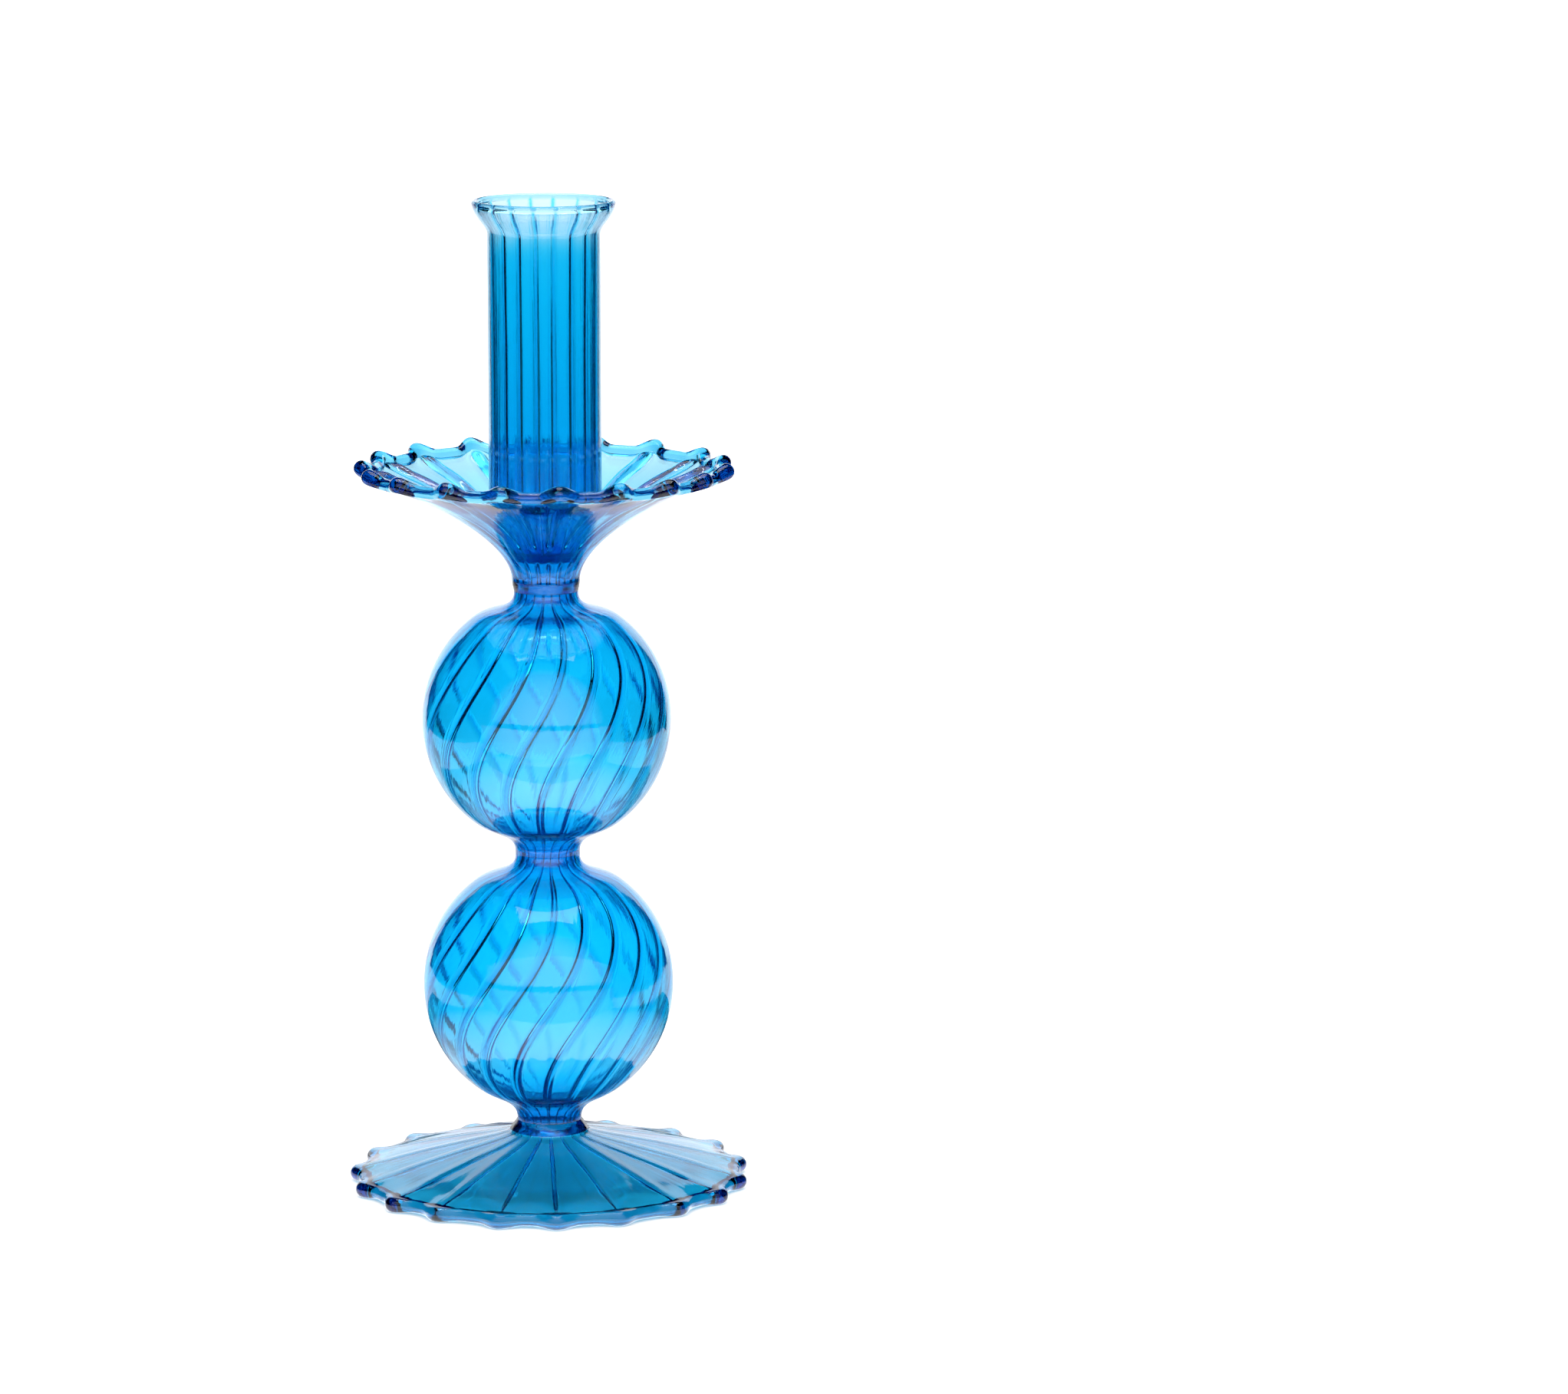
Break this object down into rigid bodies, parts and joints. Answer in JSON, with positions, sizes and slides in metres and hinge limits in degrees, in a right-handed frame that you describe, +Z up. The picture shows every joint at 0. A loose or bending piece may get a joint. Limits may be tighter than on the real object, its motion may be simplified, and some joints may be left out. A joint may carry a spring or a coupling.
{
  "type": "candlestick",
  "caption": "Blown glass candlestick: scalloped foot, two twisted bulbs, a scalloped drip dish and a tall ribbed cup for a taper candle.",
  "frame": {"origin": "centre of the foot's underside, on the axis of the candlestick", "axes": "+Z up along the axis; the candlestick looks the same from every side"},
  "size_m": [0.094, 0.0926, 0.2304],
  "materials": {
    "blown_glass": "clear azure glass, fire-polished, with faint ripples",
    "weld_glass": "the same glass where it is thicker and a little seedy"
  },
  "bodies": {
    "root": {"foot": "blown_glass", "foot_weld": "weld_glass", "lower_bulb": "blown_glass", "upper_bulb": "blown_glass", "dish_weld": "weld_glass", "drip_dish": "blown_glass", "cup_seal": "weld_glass", "candle_cup": "blown_glass"}
  },
  "joints": []
}
